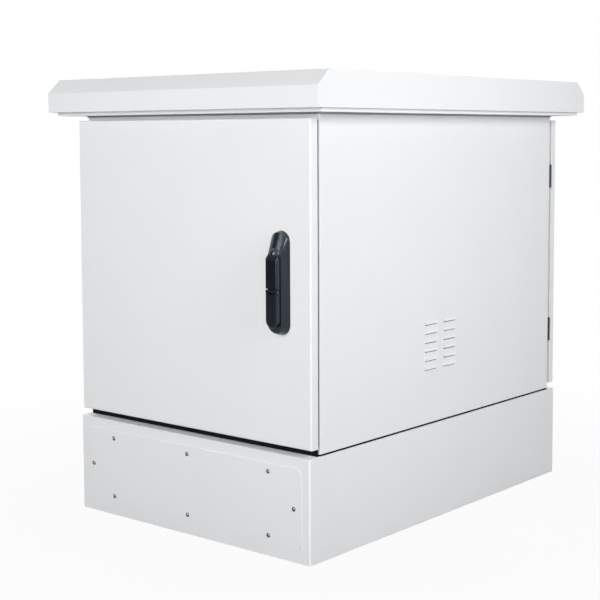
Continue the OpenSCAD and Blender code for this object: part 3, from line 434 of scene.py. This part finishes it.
def cellular(name, gloss, dark, light, rough, pore_scale, mottle_scale):
    """Closed-cell rubber or foam of two tones, with a range of roughness and fine pores."""
    material, tree, skin = new_finish(name, Specular_IOR_Level=gloss)
    look = use_group(tree, peel, Peel_scale=pore_scale, Mottle_scale=mottle_scale)
    link_chain(tree, (blend_colours(tree, look["Mottle"], dark, light), skin.inputs["Base Color"]),
               (spread(tree, look["Mottle"], *rough), skin.inputs["Roughness"]))
    bump(tree, skin, look["Height"], PORE_DEPTH)
    return material


rubber = cellular("cellular rubber", 0.12, (0.0025, 0.0030, 0.0035), (0.0080, 0.0090, 0.0100), (0.75, 0.95),
                  1500.0, 80.0)
# The grey of the roof cord is painted shade that darkens the line below the roof's tray.
shade_line_foam = cellular("grey foam cord of painted shade", 0.2, (0.27, 0.28, 0.29), (0.37, 0.38, 0.39), (0.8, 0.95), 1800.0, 50.0)

fleece, tree, skin = new_finish("filter fleece", Specular_IOR_Level=0.1, Roughness=0.95, Sheen_Weight=0.3)
look = use_group(tree, rolled, Line_scale=1800.0, Cloud_scale=400.0)
fibres = add_math(tree, "MULTIPLY", look["Lines"], look["Clouds"])
tone = blend_colours(tree, fibres, FIBRE_DARK, FIBRE_LIGHT)
tree.links.new(tone, skin.inputs["Base Color"])
bump(tree, skin, fibres, FIBRE_DEPTH)

FINISH = {"powder_coat": coat, "black_plastic": plastic, "black_metal": hinge_coat, "zinc": zinc,
          "steel": steel, "rubber": rubber, "filter": fleece, "brass": brass}
print("finishes:", [m.name for m in FINISH.values()])

# %% [markdown]
# ## Every solid gets its finish
# The record names a material slot for each node, so one loop dresses them all. The pieces that follow
# replace the nodes whose edges or surfaces show.

# %% Dress the nodes
SLOT = {part["node"]: part["material_slot"] for part in frame["record"]["subparts"]}
BODY = {node: body for body, nodes in frame["record"]["behaviour"]["bodies"].items() for node in nodes}
for node, solid in frame["nodes"].items():
    solid.data.materials.clear()
    solid.data.materials.append(FINISH[SLOT[node]])

# %% [markdown]
# ## Folded and moulded edges
# A press brake leaves a small radius on every fold, and a punch or laser leaves a slightly broken edge.
# Those radii catch light and make sheet metal look real. A Bevel modifier would round every triangle's
# edge, so each sheet is a merged copy of its solid: flat areas are dissolved into single faces, and the
# sharp edges that are left are bevelled. All radii are in metres.

# %% Softened copies
MERGE, FLAT_ANGLE, SHARP_ANGLE, FLAT_WEIGHT = 2e-6, radians(0.6), 28, 80


def merged_copy(node):
    """Shape of a solid with its triangles joined and its flat areas dissolved."""
    shape = bmesh.new()
    shape.from_mesh(frame["nodes"][node].data)
    bmesh.ops.remove_doubles(shape, verts=shape.verts, dist=MERGE)
    bmesh.ops.dissolve_limit(shape, angle_limit=FLAT_ANGLE, verts=shape.verts, edges=shape.edges)
    return shape


def break_edges(shape, radius, segments=2, angle=SHARP_ANGLE):
    """Bevels the edges that are sharper than an angle in degrees."""
    limit = radians(angle)
    sharp = [e for e in shape.edges if len(e.link_faces) == 2 and e.calc_face_angle(0) > limit]
    bmesh.ops.bevel(shape, geom=sharp, offset=radius, offset_type="OFFSET", segments=segments, profile=0.5,
                    affect="EDGES", clamp_overlap=True, material=-1)
    return len(sharp)


def add_piece(shape, name, like, *replaced):
    """Makes a shape a piece that has the body and finish of a node and stands for the replaced nodes."""
    mesh = bpy.data.meshes.new(name)
    shape.to_mesh(mesh)
    shape.free()
    mesh.polygons.foreach_set("use_smooth", [True] * len(mesh.polygons))
    piece = bpy.data.objects.new(name, mesh)
    scene.collection.objects.link(piece)
    mesh.materials.append(FINISH[SLOT[like]])
    weighted = piece.modifiers.new("flat faces stay flat", "WEIGHTED_NORMAL")
    weighted.weight = FLAT_WEIGHT
    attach(piece, BODY[like])
    if replaced:
        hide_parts(*replaced)
    return piece


def soften(node, radius, segments=2, angle=SHARP_ANGLE):
    """Makes a softened copy that stands for its node."""
    shape = merged_copy(node)
    count = break_edges(shape, radius, segments, angle)
    piece = add_piece(shape, node + "_sheet", node, node)
    print(node, count, "edges softened,", len(piece.data.polygons), "faces")
    return piece


def soften_all(pieces, segments=2, angle=SHARP_ANGLE):
    """Softens a table of node names and radii."""
    for node, radius in pieces.items():
        soften(node, radius, segments, angle)


# %% Sheets that show their edges
soften_all({"roof_canopy": 0.0012, "roof_tray": 0.0004, "tray_rim": 0.0004, "plinth_flanges": 0.0004,
            "plinth_sides": 0.0004, "plinth_ends": 0.0004, "plinth_front_cover": 0.0009,
            "plinth_rear_cover": 0.0009, "front_door_panel": 0.0004, "rear_door_panel": 0.0004,
            "left_side_panel": 0.0003, "right_side_panel": 0.0003, "ceiling_panel": 0.0003,
            "floor_panel": 0.0003}, 3)

# %% [markdown]
# ## Painted shade in the door gaps
# Down the lock side of the front door runs a dark line in the gap between door and body. A strip of dark
# rubber, stuck to the back of the door pan, paints the shade in that gap. It is a bar with rounded
# edges, a little shorter than the door, and the rear door has the same strip turned by half a turn.

# %% Painted shade lips on the doors
SHADE_LIP_WIDTH, SHADE_LIP_DEPTH, SHADE_LIP_SHORT, SHADE_LIP_ROUND = 0.0036, 0.0024, 0.004, 0.0005
SHADE_LIP_INSET, SHADE_LIP_PRESSED = 0.0004, 0.0001
low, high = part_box("front_door_panel")
for door, turn in (("front", 0), ("rear", 180)):
    shape = bmesh.new()
    bmesh.ops.create_cube(shape, size=1.0)
    bmesh.ops.scale(shape, vec=(SHADE_LIP_WIDTH, SHADE_LIP_DEPTH, high[2] - low[2] - 2 * SHADE_LIP_SHORT), verts=shape.verts)
    middle_x, middle_y = high[0] - SHADE_LIP_INSET - SHADE_LIP_WIDTH / 2, high[1] + SHADE_LIP_DEPTH / 2 - SHADE_LIP_PRESSED
    bmesh.ops.translate(shape, vec=(middle_x, middle_y, (low[2] + high[2]) / 2), verts=shape.verts)
    bmesh.ops.rotate(shape, matrix=Matrix.Rotation(radians(turn), 3, "Z"), verts=shape.verts)
    break_edges(shape, SHADE_LIP_ROUND, 3)
    # A dark strip that paints the shade in the gap between door and body.
    shade_lip = add_piece(shape, door + "_door_shade_lip", door + "_door_gasket")
    print(shade_lip.name, "rides on", BODY[door + "_door_gasket"])

# %% [markdown]
# ## Swing handles
# The handle is an injection moulding, so its edges are rounder than those of the sheets. The lever keeps a
# crisper edge where it meets the key cover, because the two are moulded to close flush.

# %% Handles
for door in ("front", "rear"):
    soften_all({door + "_handle_base": 0.0010, door + "_lever": 0.0008, door + "_key_cover": 0.0007}, 3, 35)
    soften_all({door + "_lock_cylinder": 0.0002, door + "_flip_pin": 0.0002, door + "_lever_pin": 0.0002})

# %% [markdown]
# ## Hinges, screws and bolts
# Cast hinge halves have generous edge radii. The cover screws have a low dome with a hexagon socket, and
# the hexagon bolts a chamfered head.

# %% Hinges and fasteners
soften_all({"hinge_frame_leaves": 0.0006, "front_door_leaves": 0.0006, "rear_door_leaves": 0.0006}, 3)
soften_all({"hinge_pins": 0.0004, "plinth_cover_screws": 0.0004, "plinth_bolts": 0.0005,
            "canopy_bolts": 0.0005, "rail_bolts": 0.0004})

# %% [markdown]
# ## Seals, grommets and filters
# Foam and rubber have no sharp edge at all. The gasket on the door is a foam bead that was poured in a
# groove, so its crown is almost round. The filter frame is a moulding that clamps a fleece mat behind the
# louvres.

# %% Soft parts
for door in ("front", "rear"):
    soften(door + "_door_gasket", 0.0024, 4)
soften_all({"plinth_seal": 0.0008, "cable_grommets": 0.0009, "filter_mats": 0.0012,
            "filter_frames": 0.0005})
# The grey cord under the tray paints the shade of the line below the roof, on top of its real shadow.
shade_cord = soften("roof_seal", 0.0010, 3)
shade_cord.data.materials[0] = shade_line_foam

# %% [markdown]
# ## Rails and rod locks
# Rails, lock cases and rods are punched and folded from plated strip, and the pinion is a sintered wheel.
# Their cut edges are only broken.

# %% Rails and locks
soften_all({node: 0.0003 for node in frame["nodes"] if node.endswith(("_rail", "_rails"))})
soften("gland_plate", 0.0003)
for door in ("front", "rear"):
    soften_all({door + "_" + part: 0.0003 for part in ("lock_case", "rod_guides", "upper_rod", "lower_rod",
                                                       "spindle", "pinion")})
